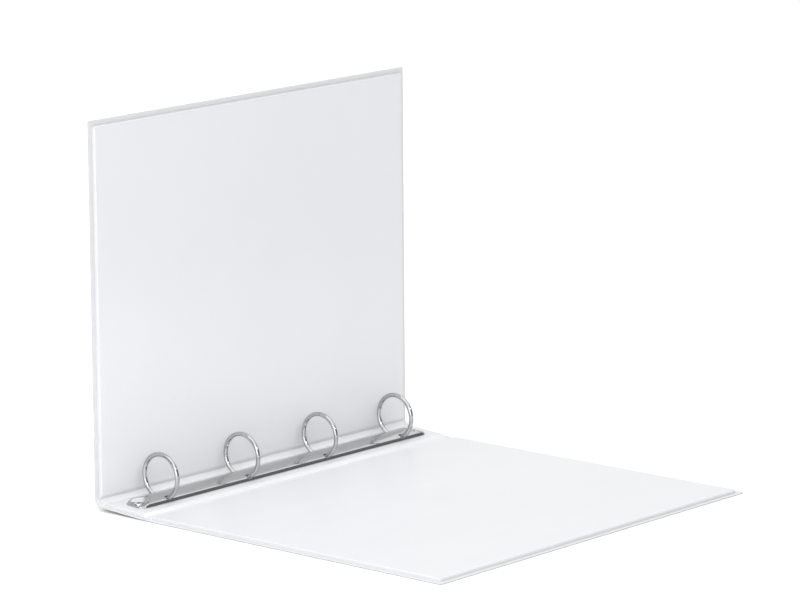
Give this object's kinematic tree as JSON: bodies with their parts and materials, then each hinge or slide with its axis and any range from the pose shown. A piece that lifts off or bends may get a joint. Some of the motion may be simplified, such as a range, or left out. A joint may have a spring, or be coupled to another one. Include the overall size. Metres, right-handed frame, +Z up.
{
  "type": "ring binder",
  "caption": "Open ring binder for A4 sheets: film-covered boards, film hinges at the spine, and round split rings on an arched riveted metal channel.",
  "frame": {"origin": "bottom centre of the open binder's bounding box, on the surface it stands on", "axes": "+X across the spine from the upright front cover to the back cover's free edge, +Y along the spine, +Z up"},
  "size_m": [0.307, 0.317, 0.2655],
  "materials": {
    "board": "raw greyboard",
    "outer_film": "satin, finely grained",
    "inner_film": "satin, smooth",
    "hinge_film": "satin, creased",
    "housing_steel": "bright nickel plate",
    "blade_steel": "nickel plate",
    "ring_wire": "bright nickel plate",
    "rivet": "bright nickel plate"
  },
  "bodies": {
    "back_cover": {"back_board": "board", "back_outer_film": "outer_film", "back_inner_film": "inner_film"},
    "spine": {"spine_board": "board", "spine_outer_film": "outer_film", "spine_inner_film": "inner_film", "back_hinge_film": "hinge_film", "ring_housing": "housing_steel", "spine_rivets": "rivet"},
    "front_cover": {"front_board": "board", "front_outer_film": "outer_film", "front_inner_film": "inner_film", "front_hinge_film": "hinge_film"},
    "front_carrier": {"hinge_plate_front": "blade_steel", "ring_1_front_half": "ring_wire", "ring_2_front_half": "ring_wire", "ring_3_front_half": "ring_wire", "ring_4_front_half": "ring_wire"},
    "back_carrier": {"hinge_plate_back": "blade_steel", "ring_1_back_half": "ring_wire", "ring_2_back_half": "ring_wire", "ring_3_back_half": "ring_wire", "ring_4_back_half": "ring_wire"}
  },
  "joints": [
    {"name": "back_hinge", "type": "hinge", "parent": "back_cover", "child": "spine", "pos_m": [-0.10797, 0, 0.00124], "axis": [0, 1, 0], "range_deg": [-90, 86.3], "deforming": ["back_hinge_film"]},
    {"name": "front_hinge", "type": "hinge", "parent": "spine", "child": "front_cover", "pos_m": [-0.15228, 0, 0.00405], "axis": [0, -1, 0], "range_deg": [-3.6, 180], "deforming": ["front_hinge_film"]},
    {"name": "back_rings", "type": "hinge", "parent": "spine", "child": "back_carrier", "pos_m": [-0.12195, 0, 0.00524], "axis": [0, 1, 0], "range_deg": [0, 13]},
    {"name": "front_rings", "type": "hinge", "parent": "spine", "child": "front_carrier", "pos_m": [-0.13792, 0, 0.00625], "axis": [0, -1, 0], "range_deg": [0, 13]}
  ],
  "couplings": [
    {"joint": "front_rings", "follows": "back_rings", "ratio": 1}
  ]
}
